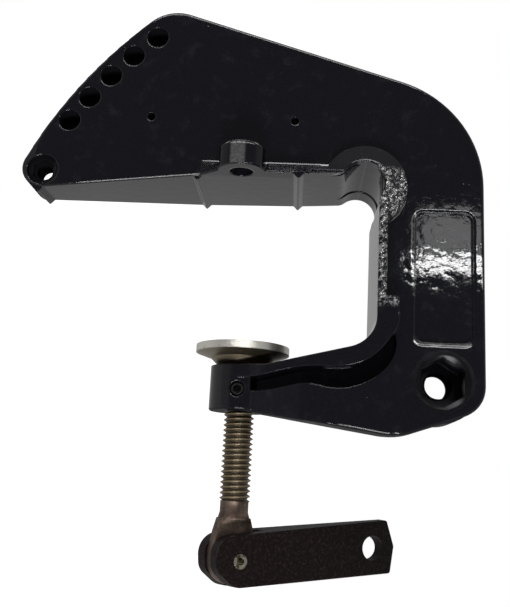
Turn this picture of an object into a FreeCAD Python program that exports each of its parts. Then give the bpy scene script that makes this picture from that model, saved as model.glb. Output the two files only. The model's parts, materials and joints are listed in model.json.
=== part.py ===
import FreeCAD, Part
import math
import os

V = FreeCAD.Vector

# Clamp bracket of a small outboard motor, one side, with its clamp screw. Millimetres.
# +Z is up in use, +X points inboard over the transom board, and +Y runs through the plate from
# its outer face. The pieces are drawn with X = Z = 0 on the tilt pivot's axis and Y = 0 on the
# plate's outer face, and are moved at the end so that Y = 0 is the plane of the clamp screw's axis.

# Plate: a fan round the pivot, a body and an arm, cast in one with the walls below
PLATE_T = 13.5
WEB_T = 7.0
FAN_MARGIN = 7.1
FAN_X = -3.6
FAN_Z = 2.8
CROWN_R = 17.0
TOP_SLOPE_DEG = 17.4
SHOULDER_X = -110.9
SHOULDER_R = 46.0
BACK_Z = 15.1
HEEL_CORNER_X = 9.6
HEEL_CORNER_Z = 15.9
HEEL_CORNER_R = 12.0
HEEL_X = 21.2
HEEL_Z = -16.4
HEEL_R = 24.0
EDGE_R = 1.2
RIM_W = 7.5
RIB_W = 5.0

# Tilt pin holes, on one circle round the pivot
TILT_R = 180.7
TILT_FIRST_DEG = 33.45
TILT_STEP_DEG = 4.0
TILT_COUNT = 5
TILT_HOLE_D = 8.8
TILT_PAD_W = 19.0
TILT_PAD_T = 19.2

# Lower tip, with the hole of the tie bolt and its hexagonal seat
TIP_X = -78.2
TIP_Z = -159.7
TIP_R = 8.2
TIP_DEPTH = 19.2
TIP_PAD_R = 9.5
TIP_SPOT_D = 12.6
TIP_SPOT_T = 2.0
TIP_HEX_AF = 8.4
TIP_HEX_T = 1.6
TIP_BORE_D = 6.6

# Pivot: hexagonal pocket for the pivot bolt's head, with a bore through its floor
PIVOT_HEX_AF = 16.2
PIVOT_HEX_T = 13.0
PIVOT_BORE_D = 10.2
PIVOT_BOSS_R = 15.0
PIVOT_BOSS_T = 26.0
PIVOT_RING_D = 20.4
PIVOT_RING_T = 1.2

# Throat: the mouth over the transom board, its wall and the lip round it
SEAT_X = -78.0
SEAT_SLOPE_DEG = 6.4
SEAT_BEND_Z = -97.4
SEAT_RISE = 1.5
SEAT_DRAFT_DEG = 2.4
THROAT_Z = -25.6
ARM_TOP_X = -4.4
ARM_TOP_SLOPE_DEG = 12.2
THROAT_R = 12.0
MOUTH_Z = -185.0
WALL_T = 6.5
WALL_BACK_Y = 39.3
WALL_BEND_Y = 42.3
LIP_Y = -5.5
LIP_W = 2.2
LIP_FOOT = 5.5
RELIEF_X = -75.4
RELIEF_Z = -31.8
RELIEF_R = 8.6
RELIEF_STEP_R = 8.2
RELIEF_STEP_Y = 29.5
RELIEF_BLEND_R = 5.0
CRESCENT_X = -74.9
CRESCENT_Z = -31.2
CRESCENT_R = 16.4
CRESCENT_RIM_Y = -3.0
BEAD_W = 3.3

# Arm: the raised bead along its top, the valley below the bead and the channel behind.
# Both edges of the valley are free curves, by points (x, z) from the throat to the boss.
BEAD_STEP_X = -31.0
BEAD_EDGE = [(-25.0, -17.4), (-20.1, -17.6), (-16.6, -19.4), (-8.9, -25.5), (-5.1, -31.6), (-3.8, -40.0),
             (-3.9, -49.7), (-3.2, -55.5), (-0.9, -65.1), (0.4, -79.6)]
BEAD_FALL_Z = -30.0
VALLEY_EDGE = [(-19.5, -19.5), (-12.5, -17.8), (-6.0, -20.2), (1.4, -29.2), (3.8, -36.5), (3.5, -44.0),
               (2.4, -50.0), (3.9, -59.5), (5.0, -65.0), (5.4, -72.5)]
VALLEY_T = 3.0
ARM_FALL_Z = -44.0
ARM_FALL_END_Z = -70.0
ARM_FALL_T = 8.7
ARM_FALL_R = 60.0
ARM_RIM_Y = 25.0
ARM_RIM_INSET = 0.8
RIM_RUN_X = 5.0
RIM_RUN_L = 20.0

# Teeth across the seat that bite into the transom board
TOOTH_H = 1.7
TOOTH_HALF_W = 1.8
TOOTH_ROOT = 1.6
TOOTH_FLAT = 0.5
TOOTH_LEAN = 0.5
TOOTH_INNER_Z = -57.2
TOOTH_TIP_Z = -161.0

# Screw boss at the arm's end, with the set screw in its side
SCREW_Y = 20.0
SCREW_Z = -76.6
BOSS_R = 12.3
BOSS_HIGH_X = 13.1
BOSS_BEVEL = 0.5
GRUB_X = 5.2
GRUB_TURN_DEG = 3.5
GRUB_D = 6.0
GRUB_SINK = 0.4
GRUB_GAP = 0.1
GRUB_SOCKET_AF = 3.0
GRUB_SOCKET_T = 3.0
GRUB_BEVEL = 0.8

# Boss for the transom bolt, outside the plate
BOLT_Y = -4.8
BOLT_Z = -79.5
BOLT_BORE_D = 9.4
BOLT_BOSS_R = 9.2
BOLT_BOSS_L = 10.0
BOLT_BOSS_BEVEL = 1.2

# Recess of the bare label, and the two tapped holes
LABEL_LOW_X = -65.6
LABEL_HIGH_X = -14.3
LABEL_LOW_Z = -11.0
LABEL_HIGH_Z = 10.8
LABEL_R = 3.2
LABEL_T = 1.2
TAPPED_X = -102.2
TAPPED_Z = -88.5
TAPPED_SPACING = 58.0
TAPPED_D = 3.3
TAPPED_T = 9.0
TAPPED_PAD_R = 5.0

# Clamp screw
SCREW_R = 6.0
SCREW_FIT = 0.05
THREAD_END_X = 47.0
NECK_R = 5.5
NECK_L = 4.6
FLARE_L = 7.0
EYE_T = 5.0
EYE_R = 9.2
EYE_SHOULDER = 1.6
EYE_RAMP_L = 4.4
PIN_X = 69.4
HANDLE_YAW_DEG = 30.0

# Clamp pad, riveted loosely over the screw's nose
PAD_R = 18.7
PAD_FACE_X = -12.8
PAD_RIM_T = 2.9
PAD_SHOULDER_R = 12.8
PAD_SHOULDER_T = 2.0
PAD_HUB_R = 9.4
PAD_GAP = 0.3
PAD_CLEARANCE = 0.6
NOSE_R = 4.0
NOSE_FIT = 0.06
NOSE_PLAY = 0.3
SOCKET_T = 2.7
SOCKET_GAP = 0.3
RIVET_R = 5.6
RIVET_T = 1.6
RIVET_RECESS_R = 7.0
RIVET_RECESS_T = 2.6

# Handle: a cast lever, forked over the screw's eye, and its hollow pin
HANDLE_FORK_W = 19.0
HANDLE_END_W = 21.1
HANDLE_L = 70.8
HANDLE_HEEL_L = 9.9
HANDLE_TILT_DEG = 5.5
HANDLE_FORK_T = 15.4
HANDLE_END_T = 4.0
HANDLE_DRAFT_DEG = 2.0
HANDLE_POINT = 2.7
HANDLE_CORNER_R = 1.2
HANDLE_HOLE_D = 9.6
HANDLE_HOLE_INSET = 10.6
SLOT_GAP = 0.3
SLOT_L = 13.0
PIN_R = 2.75
PIN_FIT = 0.05
PIN_PROUD = 0.3
PIN_HOLE_R = 1.55
PIN_HOLE_T = 3.0

FAN_R = TILT_R + FAN_MARGIN
SEAT_SLOPE = math.tan(math.radians(SEAT_SLOPE_DEG))
SEAT_DRAFT = math.tan(math.radians(SEAT_DRAFT_DEG))
ARM_TOP_Z = SCREW_Z + PAD_HUB_R + PAD_CLEARANCE
ARM_SLOPE = math.tan(math.radians(ARM_TOP_SLOPE_DEG))
BOSS_FRONT_Y = SCREW_Y - BOSS_R
BOSS_BACK_Y = SCREW_Y + BOSS_R
FAR = 250.0


def round_corner(before, corner, after):
    """Start, middle and end of the arc of radius corner[2] that rounds a corner."""
    here = V(corner[0], 0, corner[1])
    back = V(before[0], 0, before[1]) - here
    ahead = V(after[0], 0, after[1]) - here
    back.normalize()
    ahead.normalize()
    half = back.getAngle(ahead) / 2
    cut = corner[2] / math.tan(half)
    inward = back + ahead
    inward.normalize()
    centre = here + inward * (corner[2] / math.sin(half))
    return here + back * cut, centre - inward * corner[2], here + ahead * cut


def loop(corners):
    """A closed wire in the XZ plane through corners (x, z, radius)."""
    arcs = []
    ends = []
    count = len(corners)
    for i, corner in enumerate(corners):
        if corner[2] > 0:
            start, middle, end = round_corner(corners[i - 1], corner, corners[(i + 1) % count])
            arcs.append(Part.Arc(start, middle, end).toShape())
        else:
            start = end = V(corner[0], 0, corner[1])
            arcs.append(None)
        ends.append((start, end))
    edges = []
    for i, arc in enumerate(arcs):
        if arc:
            edges.append(arc)
        here = ends[i][1]
        there = ends[(i + 1) % count][0]
        if here.distanceToPoint(there) > 1e-6:
            edges.append(Part.makeLine(here, there))
    return Part.Wire(edges)


def slab(wire, y_front, y_back):
    """The inside of a wire in the XZ plane, from y_front to y_back."""
    face = Part.Face(wire)
    face.translate(V(0, y_front, 0))
    return face.extrude(V(0, y_back - y_front, 0))


def rod_y(x, z, radius, y_front, y_back):
    return Part.makeCylinder(radius, y_back - y_front, V(x, y_front, z), V(0, 1, 0))


def rod_x(y, z, radius, x_low, x_high):
    return Part.makeCylinder(radius, x_high - x_low, V(x_low, y, z), V(1, 0, 0))


def block(x_low, x_high, y_low, y_high, z_low, z_high):
    return Part.makeBox(x_high - x_low, y_high - y_low, z_high - z_low, V(x_low, y_low, z_low))


def prism(corners, push):
    """A flat polygon of vectors, pushed along a vector."""
    face = Part.Face(Part.makePolygon(corners + [corners[0]]))
    return face.extrude(push)


def prism_x(points, x_low, x_high):
    """A prism along X over a polygon of (y, z) points."""
    return prism([V(x_low, y, z) for y, z in points], V(x_high - x_low, 0, 0))


def prism_z(points, z_low, z_high):
    """A prism along Z over a polygon of (x, y) points."""
    return prism([V(x, y, z_low) for x, y in points], V(0, 0, z_high - z_low))


def hexagon(x, z, across_flats, y_front, y_back):
    """A hexagonal prism along Y, with two of its corners in the X direction."""
    radius = across_flats / math.sqrt(3)
    corners = []
    for i in range(6):
        angle = math.radians(60 * i)
        corners.append(V(x + radius * math.cos(angle), y_front, z + radius * math.sin(angle)))
    return prism(corners, V(0, y_back - y_front, 0))


def turned(profile, y, z):
    """A solid of revolution about the X-parallel axis at (y, z), from points (x, radius)."""
    points = [V(x, y + radius, z) for x, radius in profile]
    face = Part.Face(Part.makePolygon(points + [points[0]]))
    return face.revolve(V(0, y, z), V(1, 0, 0), 360)


def joined(first, *others):
    return first.multiFuse(list(others)).removeSplitter()


def level_edges(solid, *levels):
    """The edges of a solid that lie wholly in one of the planes Y = level."""
    found = []
    for edge in solid.Edges:
        box = edge.BoundBox
        if any(abs(box.YMin - y) < 1e-6 and abs(box.YMax - y) < 1e-6 for y in levels):
            found.append(edge)
    return found


def fan_point(radius, degrees):
    """A point (x, z) at this distance from the pivot, its angle measured up from -Z."""
    angle = math.radians(degrees)
    return -radius * math.sin(angle), -radius * math.cos(angle)


def crossing(p, p_dir, q, q_dir):
    """Where the line through p along p_dir meets the line through q along q_dir."""
    det = p_dir[0] * q_dir[1] - p_dir[1] * q_dir[0]
    t = ((q[0] - p[0]) * q_dir[1] - (q[1] - p[1]) * q_dir[0]) / det
    return p[0] + t * p_dir[0], p[1] + t * p_dir[1]


def seat_x(z):
    """The seat is square to the screw above its bend, and slopes inboard towards the tip."""
    return SEAT_X + SEAT_SLOPE * max(0.0, SEAT_BEND_Z - z)


def arm_top_x(z):
    return ARM_TOP_X - ARM_SLOPE * max(0.0, z - ARM_TOP_Z)


def fan_touch(start, way, inward, radius):
    """Where a round of this radius, lying along a line, touches the fan from inside.

    Given back as a point (x, z) with the fan's direction there.
    """
    centre_x = start[0] + inward[0] * radius - FAN_X
    centre_z = start[1] + inward[1] * radius - FAN_Z
    half_b = centre_x * way[0] + centre_z * way[1]
    rest = centre_x ** 2 + centre_z ** 2 - (FAN_R - radius) ** 2
    run = math.sqrt(half_b ** 2 - rest) - half_b
    out_x = (centre_x + way[0] * run) / (FAN_R - radius)
    out_z = (centre_z + way[1] * run) / (FAN_R - radius)
    return (FAN_X + out_x * FAN_R, FAN_Z + out_z * FAN_R), (out_z, -out_x)


def outer_loop():
    """The plate's outside, closed along the seat and across the throat."""
    slope = math.radians(TOP_SLOPE_DEG)
    shoulder = (SHOULDER_X, BACK_Z)
    top_line = (-math.sin(slope), -math.cos(slope))
    crown_at, crown_way = fan_touch(shoulder, top_line, (math.cos(slope), -math.sin(slope)), CROWN_R)
    slope = math.radians(SEAT_SLOPE_DEG)
    bend = (SEAT_X, SEAT_BEND_Z)
    seat_line = (math.sin(slope), -math.cos(slope))
    tip_at, tip_way = fan_touch(bend, seat_line, (-math.cos(slope), -math.sin(slope)), TIP_R)
    fan = crossing(tip_at, tip_way, crown_at, crown_way)
    crown = crossing(crown_at, crown_way, shoulder, top_line)
    tip = crossing(tip_at, tip_way, bend, seat_line)
    return loop([
        (tip[0], tip[1], TIP_R),
        (fan[0], fan[1], FAN_R),
        (crown[0], crown[1], CROWN_R),
        (shoulder[0], shoulder[1], SHOULDER_R),
        (HEEL_CORNER_X, HEEL_CORNER_Z, HEEL_CORNER_R),
        (HEEL_X, HEEL_Z, HEEL_R),
        (BOSS_HIGH_X, SCREW_Z, 0),
        (SEAT_X, SCREW_Z, 0),
        (bend[0], bend[1], 0),
    ])


def throat_loop(seat_shift=0.0):
    """The open space over the transom board, from the relief to a mouth beyond the tip."""
    return loop([
        (SEAT_X - SEAT_RISE - seat_shift, RELIEF_Z, 0),
        (RELIEF_X, THROAT_Z, 0),
        (arm_top_x(THROAT_Z), THROAT_Z, THROAT_R),
        (ARM_TOP_X, ARM_TOP_Z, 0),
        (ARM_TOP_X, MOUTH_Z, 0),
        (seat_x(MOUTH_Z) - seat_shift, MOUTH_Z, 0),
        (SEAT_X - seat_shift, SEAT_BEND_Z, 0),
        (SEAT_X - seat_shift, TOOTH_INNER_Z, 0),
    ])


def throat(y_front, y_back, relief_r):
    """The space over the board between two depths, its seat drafted, with the relief."""
    wires = []
    for y in (y_front, y_back):
        wire = throat_loop(SEAT_DRAFT * y)
        wire.translate(V(0, y, 0))
        wires.append(wire)
    space = Part.makeLoft(wires, True, True)
    space = space.fuse(rod_y(RELIEF_X, RELIEF_Z, relief_r, y_front, y_back))
    space = space.removeSplitter()
    meeting = []
    for edge in space.Edges:
        box = edge.BoundBox
        inside = RELIEF_X - RELIEF_R < box.XMin and box.XMax < RELIEF_X + RELIEF_R
        if inside and abs(box.ZMin - RELIEF_Z) < RELIEF_R and abs(box.YLength - (y_back - y_front)) < 1e-3:
            meeting.append(edge)
    return space.makeFillet(RELIEF_BLEND_R, meeting)


def curve(points):
    """A smooth edge through points (x, z) in the XZ plane."""
    spline = Part.BSplineCurve()
    spline.interpolate([V(x, 0, z) for x, z in points])
    return spline.toShape()


def bead_face():
    """The bead from the step in the throat's end to the boss, closed inside the throat."""
    first = V(BEAD_EDGE[0][0], 0, BEAD_EDGE[0][1])
    last = V(BEAD_EDGE[-1][0], 0, BEAD_EDGE[-1][1])
    outline = [
        last,
        V(ARM_TOP_X, 0, last.z),
        V(ARM_TOP_X - THROAT_R, 0, ARM_TOP_Z),
        V(BEAD_STEP_X, 0, THROAT_Z - THROAT_R),
        V(BEAD_STEP_X, 0, first.z),
        first,
    ]
    sides = [Part.makeLine(here, there) for here, there in zip(outline, outline[1:])]
    return Part.Face(Part.Wire([curve(BEAD_EDGE)] + sides))


def valley_face():
    """The valley, from its own edge to a line under the bead."""
    first = VALLEY_EDGE[0]
    last = VALLEY_EDGE[-1]
    outline = [
        V(last[0], 0, last[1]),
        V(ARM_TOP_X, 0, last[1]),
        V(ARM_TOP_X - THROAT_R, 0, (THROAT_Z + ARM_TOP_Z) / 2),
        V(first[0] - 1, 0, THROAT_Z),
        V(first[0], 0, first[1]),
    ]
    sides = [Part.makeLine(here, there) for here, there in zip(outline, outline[1:])]
    return Part.Face(Part.Wire([curve(VALLEY_EDGE)] + sides))


def grown(wire, amount):
    """The wire moved outwards (or inwards, where amount is negative) in its plane."""
    return Part.Face(wire).makeOffset2D(amount).OuterWire


def plate():
    blank = slab(outer_loop(), 0, PLATE_T)
    blank = blank.makeChamfer(EDGE_R / 2, level_edges(blank, PLATE_T))
    return blank.makeFillet(EDGE_R, level_edges(blank, 0))


def arm_slope(y_start, y_end):
    """The sloping line (y, z) along the arm, bent out of the plate's face by a large arc."""
    start = V(0, y_start, ARM_FALL_Z)
    slope = (y_end - y_start) / (ARM_FALL_Z - ARM_FALL_END_Z)
    angle = math.atan(slope)
    reach = ARM_FALL_R * math.tan(angle / 2)
    bend_from = V(0, y_start, ARM_FALL_Z + reach)
    bend_to = start + V(0, math.sin(angle), -math.cos(angle)) * reach
    centre = V(0, y_start + ARM_FALL_R, ARM_FALL_Z + reach)
    middle = centre - V(0, math.cos(angle / 2), math.sin(angle / 2)) * ARM_FALL_R
    past = SCREW_Z - 1
    end = V(0, y_start + slope * (ARM_FALL_Z - past), past)
    return [Part.Arc(bend_from, middle, bend_to).toShape(), Part.makeLine(bend_to, end)]


def arm_cut(y_start, y_end, x_low, x_high, z_high=ARM_FALL_Z + ARM_FALL_R / 2):
    """Everything in front of the arm's sloping face."""
    edges = arm_slope(y_start, y_end)
    bend = edges[0].Vertexes[0].Point
    top = V(0, y_start, z_high)
    edges.insert(0, Part.makeLine(top, bend))
    low = edges[-1].Vertexes[-1].Point
    edges.append(Part.makeLine(low, V(0, -FAR, low.z)))
    edges.append(Part.makeLine(V(0, -FAR, low.z), V(0, -FAR, top.z)))
    edges.append(Part.makeLine(V(0, -FAR, top.z), top))
    face = Part.Face(Part.Wire(edges))
    face.translate(V(x_low, 0, 0))
    return face.extrude(V(x_high - x_low, 0, 0))


def throat_wall():
    """The wall that lines the throat, square to the plate, tapering to the tip and boss."""
    band = slab(grown(throat_loop(), WALL_T), EDGE_R, WALL_BEND_Y)
    wall = band.common(slab(outer_loop(), EDGE_R, WALL_BEND_Y))
    wall = wall.cut(block(-FAR, FAR, WALL_BACK_Y, FAR, TOOTH_INNER_Z, FAR))
    tip_taper = [
        (FAR, TOOTH_INNER_Z),
        (WALL_BACK_Y, TOOTH_INNER_Z),
        (WALL_BEND_Y, SEAT_BEND_Z),
        (TIP_DEPTH, TIP_Z),
        (TIP_DEPTH, -FAR),
        (FAR, -FAR),
    ]
    arm_taper = [
        (FAR, ARM_FALL_Z),
        (WALL_BACK_Y, ARM_FALL_Z),
        (BOSS_BACK_Y - 1, SCREW_Z - 1),
        (FAR, SCREW_Z - 1),
    ]
    wall = wall.cut(prism_x(tip_taper, -FAR, seat_x(MOUTH_Z)))
    wall = wall.cut(prism_x(arm_taper, arm_top_x(THROAT_Z), FAR))
    return wall


def teeth():
    """Three ridges across the seat: at the inner end, at the bend and at the tip.

    The front ends that stand on the seat lean back a little.
    """
    ridges = []
    places = [
        (TOOTH_INNER_Z, LIP_Y, WALL_BACK_Y),
        (SEAT_BEND_Z, EDGE_R / 2, WALL_BEND_Y),
        (TOOTH_TIP_Z, EDGE_R / 2, TIP_DEPTH),
    ]
    root_half_w = TOOTH_HALF_W * (TOOTH_H + TOOTH_ROOT) / TOOTH_H
    for z, front, back in places:
        x = seat_x(z) - SEAT_DRAFT * front
        corners = [
            V(x - TOOTH_ROOT, front, z - root_half_w),
            V(x + TOOTH_H, front, z - TOOTH_FLAT / 2),
            V(x + TOOTH_H, front, z + TOOTH_FLAT / 2),
            V(x - TOOTH_ROOT, front, z + root_half_w),
        ]
        ridge = prism(corners, V(SEAT_DRAFT * (front - back), back - front, 0))
        if front > LIP_Y:
            leaning = [(x - TOOTH_ROOT, front - 1), (x - TOOTH_ROOT, front)]
            leaning += [(x + TOOTH_H + 1, front + TOOTH_LEAN), (x + TOOTH_H + 1, front - 1)]
            ridge = ridge.cut(prism_z(leaning, z - FAR, z + FAR))
        ridges.append(ridge)
    return ridges


def seat_lip():
    """The thin lip in front of the plate along the seat, with a hollow foot."""
    top = V(SEAT_X - LIP_W, LIP_Y, 0)
    foot = V(SEAT_X - LIP_W - LIP_FOOT, 0, 0)
    hollow = V(SEAT_X - LIP_W - LIP_FOOT * 0.25, LIP_Y * 0.25, 0)
    edges = [
        Part.makeLine(V(SEAT_X, LIP_Y, 0), top),
        Part.Arc(top, hollow, foot).toShape(),
        Part.makeLine(foot, V(foot.x, EDGE_R * 2, 0)),
        Part.makeLine(V(foot.x, EDGE_R * 2, 0), V(SEAT_X, EDGE_R * 2, 0)),
        Part.makeLine(V(SEAT_X, EDGE_R * 2, 0), V(SEAT_X, LIP_Y, 0)),
    ]
    face = Part.Face(Part.Wire(edges))
    face.translate(V(0, 0, SEAT_BEND_Z))
    lip = face.extrude(V(0, 0, CRESCENT_Z - SEAT_BEND_Z))
    low = BOLT_Z - BOLT_BOSS_R
    fall = [(-FAR, low), (LIP_Y, low), (EDGE_R, SEAT_BEND_Z), (EDGE_R, -FAR), (-FAR, -FAR)]
    return lip.cut(prism_x(fall, -FAR, FAR))


def crescent():
    """The raised ring round the relief, its face a shallow cone."""
    height = CRESCENT_RIM_Y - LIP_Y
    front = V(CRESCENT_X, LIP_Y, CRESCENT_Z)
    slope = Part.makeCone(RELIEF_R + 1, CRESCENT_R, height, front, V(0, 1, 0))
    foot = rod_y(CRESCENT_X, CRESCENT_Z, CRESCENT_R, CRESCENT_RIM_Y, EDGE_R)
    return slope.fuse(foot)


def arm_bead():
    """The bead on the arm, whose front meets the round of the screw boss as a tangent."""
    bead = bead_face()
    bead.translate(V(0, LIP_Y, 0))
    bead = bead.extrude(V(0, BOSS_FRONT_Y + BOSS_R / 2 - LIP_Y, 0))
    reach_z = BEAD_FALL_Z - SCREW_Z
    reach_y = SCREW_Y - LIP_Y
    angle = math.atan2(reach_y, reach_z) - math.asin(BOSS_R / math.hypot(reach_y, reach_z))
    past = BEAD_EDGE[-1][1] - 1
    end_y = LIP_Y + math.tan(angle) * (BEAD_FALL_Z - past)
    fall = [(-FAR, BEAD_FALL_Z), (LIP_Y, BEAD_FALL_Z), (end_y, past), (-FAR, past)]
    return bead.cut(prism_x(fall, -FAR, FAR))


def valley():
    """The hollow below the bead, its floor as far below the face all along."""
    hollow = valley_face()
    hollow.translate(V(0, -1, 0))
    hollow = hollow.extrude(V(0, BOSS_BACK_Y, 0))
    return hollow.common(arm_cut(VALLEY_T, VALLEY_T + ARM_FALL_T, -FAR, FAR, BACK_Z))


def back_pockets():
    """What is cored out behind the plate, round its rim, ribs, pads and bosses."""
    region = slab(grown(outer_loop(), -RIM_W), WEB_T, FAR)
    region = region.cut(slab(grown(throat_loop(), WALL_T + 1), 0, FAR))
    region = region.cut(rod_y(RELIEF_X, RELIEF_Z, RELIEF_R + WALL_T, 0, FAR))
    region = region.cut(rod_y(0, 0, PIVOT_BOSS_R, 0, FAR))
    region = region.cut(rod_y(TIP_X, TIP_Z, TIP_PAD_R, 0, FAR))
    band = rod_y(0, 0, TILT_R + TILT_PAD_W, 0, FAR).cut(rod_y(0, 0, TILT_R - TILT_PAD_W / 2, 0, FAR))
    region = region.cut(band)
    for z in (TAPPED_Z - TAPPED_SPACING / 2, TAPPED_Z + TAPPED_SPACING / 2):
        region = region.cut(rod_y(TAPPED_X, z, TAPPED_PAD_R, 0, FAR))
    last_hole = fan_point(TILT_R, TILT_FIRST_DEG + TILT_STEP_DEG * (TILT_COUNT - 1))
    for target in ((SEAT_X, BOLT_Z), last_hole):
        region = region.cut(rib_to_pivot(target))
    region = region.cut(block(-FAR, SEAT_X, 0, FAR, BOLT_Z - RIB_W / 2, BOLT_Z + RIB_W / 2))
    return region.cut(arm_cut(WEB_T, WEB_T + ARM_FALL_T, arm_top_x(THROAT_Z), FAR))


def tilt_pad():
    """The thick band behind the tilt holes, round at both ends."""
    half = TILT_PAD_W / 2
    last = TILT_FIRST_DEG + TILT_STEP_DEG * (TILT_COUNT - 1)
    sides = [fan_point(2 * FAR, degrees) for degrees in (TILT_FIRST_DEG, last)]
    sector = prism([V(0, 0, 0)] + [V(x, 0, z) for x, z in sides], V(0, FAR, 0))
    band = rod_y(0, 0, TILT_R + half, EDGE_R, TILT_PAD_T)
    band = band.cut(rod_y(0, 0, TILT_R - half, 0, FAR)).common(sector)
    ends = []
    for degrees in (TILT_FIRST_DEG, last):
        x, z = fan_point(TILT_R, degrees)
        ends.append(rod_y(x, z, half, EDGE_R, TILT_PAD_T))
    return joined(band, *ends).common(slab(outer_loop(), 0, FAR))


def rib_to_pivot(target):
    """A straight rib from the pivot boss towards a point (x, z)."""
    length = math.hypot(target[0], target[1])
    side_x = -target[1] / length * RIB_W / 2
    side_z = target[0] / length * RIB_W / 2
    corners = [
        V(side_x, 0, side_z),
        V(target[0] + side_x, 0, target[1] + side_z),
        V(target[0] - side_x, 0, target[1] - side_z),
        V(-side_x, 0, -side_z),
    ]
    return prism(corners, V(0, FAR, 0))


def arm_channel():
    """The arm's back: its web, and the rim under it, which runs out round the heel."""
    outside = grown(outer_loop(), -ARM_RIM_INSET)
    rim = slab(outside, WEB_T, ARM_RIM_Y).cut(slab(grown(outside, ARM_RIM_INSET - WALL_T), 0, FAR))
    end_x = RIM_RUN_X - RIM_RUN_L
    run_out = [(RIM_RUN_X, FAR), (RIM_RUN_X, ARM_RIM_Y), (end_x, PLATE_T - 1), (end_x, FAR)]
    rim = rim.common(block(end_x, FAR, 0, FAR, SCREW_Z + 1, FAR))
    rim = rim.cut(prism_z(run_out, SCREW_Z, FAR))
    web = slab(outside, WEB_T, ARM_RIM_Y)
    web = web.common(block(arm_top_x(ARM_FALL_Z), FAR, 0, FAR, SCREW_Z + 1, ARM_FALL_Z))
    return rim.fuse(web)


def bolt_boss():
    """The half-round boss of the transom bolt, standing on the lip's line."""
    boss = rod_x(BOLT_Y, BOLT_Z, BOLT_BOSS_R, SEAT_X - BOLT_BOSS_L, SEAT_X)
    top = [edge for edge in boss.Edges if abs(edge.BoundBox.XMax - (SEAT_X - BOLT_BOSS_L)) < 1e-6]
    return boss.makeChamfer(BOLT_BOSS_BEVEL, top)


def screw_boss():
    boss = rod_x(SCREW_Y, SCREW_Z, BOSS_R, ARM_TOP_X, BOSS_HIGH_X)
    rim = [edge for edge in boss.Edges if abs(edge.BoundBox.XMin - BOSS_HIGH_X) < 1e-6]
    return boss.makeChamfer(BOSS_BEVEL, rim)


def grub_axis():
    """The set screw's axis: radial in the boss, pointing out of it."""
    angle = math.radians(GRUB_TURN_DEG)
    return V(0, -math.cos(angle), -math.sin(angle))


def grub_place(radius):
    return V(GRUB_X, SCREW_Y, SCREW_Z) + grub_axis() * radius


def clamp_bracket():
    body = joined(plate(), throat_wall(), arm_channel())
    body = body.cut(arm_cut(0, ARM_FALL_T, arm_top_x(THROAT_Z), FAR))
    pivot_boss = rod_y(0, 0, PIVOT_BOSS_R, WEB_T, PIVOT_BOSS_T)
    relief_wall = rod_y(RELIEF_X, RELIEF_Z, RELIEF_R + WALL_T, EDGE_R, WALL_BACK_Y)
    body = joined(
        body, pivot_boss, relief_wall, seat_lip(), crescent(), bolt_boss(), screw_boss(), tilt_pad(),
        *teeth())
    body = body.cut(back_pockets().cut(rod_x(SCREW_Y, SCREW_Z, BOSS_R, -FAR, FAR)))
    body = body.cut(valley())
    end_bead = block(CRESCENT_X, BEAD_STEP_X, LIP_Y, EDGE_R, THROAT_Z, THROAT_Z + BEAD_W)
    body = joined(body, arm_bead(), end_bead)
    space = throat(2 * LIP_Y, RELIEF_STEP_Y, RELIEF_R)
    space = space.fuse(throat(RELIEF_STEP_Y, WALL_BEND_Y + 1, RELIEF_STEP_R))
    space = space.cut(rod_x(SCREW_Y, SCREW_Z, BOSS_R, ARM_TOP_X, BOSS_HIGH_X))
    for tooth in teeth():
        space = space.cut(tooth)
    body = body.cut(space)
    # Pivot: hexagonal pocket, bore and the shallow cone round its mouth
    body = body.cut(hexagon(0, 0, PIVOT_HEX_AF, -1, PIVOT_HEX_T))
    body = body.cut(rod_y(0, 0, PIVOT_BORE_D / 2, 0, FAR))
    cone = Part.makeCone(PIVOT_RING_D / 2, PIVOT_HEX_AF / 2, PIVOT_RING_T, V(0, 0, 0), V(0, 1, 0))
    body = body.cut(cone)
    for i in range(TILT_COUNT):
        x, z = fan_point(TILT_R, TILT_FIRST_DEG + TILT_STEP_DEG * i)
        body = body.cut(rod_y(x, z, TILT_HOLE_D / 2, -1, TILT_PAD_T + 1))
    # Tip: spot face, hexagonal seat and bore of the tie bolt
    body = body.cut(rod_y(TIP_X, TIP_Z, TIP_SPOT_D / 2, -1, TIP_SPOT_T))
    body = body.cut(hexagon(TIP_X, TIP_Z, TIP_HEX_AF, -1, TIP_SPOT_T + TIP_HEX_T))
    body = body.cut(rod_y(TIP_X, TIP_Z, TIP_BORE_D / 2, -1, FAR))
    label = loop([
        (LABEL_LOW_X, LABEL_LOW_Z, LABEL_R), (LABEL_LOW_X, LABEL_HIGH_Z, LABEL_R),
        (LABEL_HIGH_X, LABEL_HIGH_Z, LABEL_R), (LABEL_HIGH_X, LABEL_LOW_Z, LABEL_R)])
    body = body.cut(slab(label, -1, LABEL_T))
    for z in (TAPPED_Z - TAPPED_SPACING / 2, TAPPED_Z + TAPPED_SPACING / 2):
        body = body.cut(rod_y(TAPPED_X, z, TAPPED_D / 2, -1, TAPPED_T))
    bolt_top = SEAT_X - BOLT_BOSS_L - 1
    body = body.cut(rod_x(BOLT_Y, BOLT_Z, BOLT_BORE_D / 2, bolt_top, SEAT_X + TOOTH_H))
    body = body.cut(rod_x(SCREW_Y, SCREW_Z, SCREW_R + SCREW_FIT, ARM_TOP_X - 1, BOSS_HIGH_X + 1))
    grub_hole = Part.makeCylinder(GRUB_D / 2, BOSS_R, grub_place(SCREW_R / 2), grub_axis())
    return body.cut(grub_hole)


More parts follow.
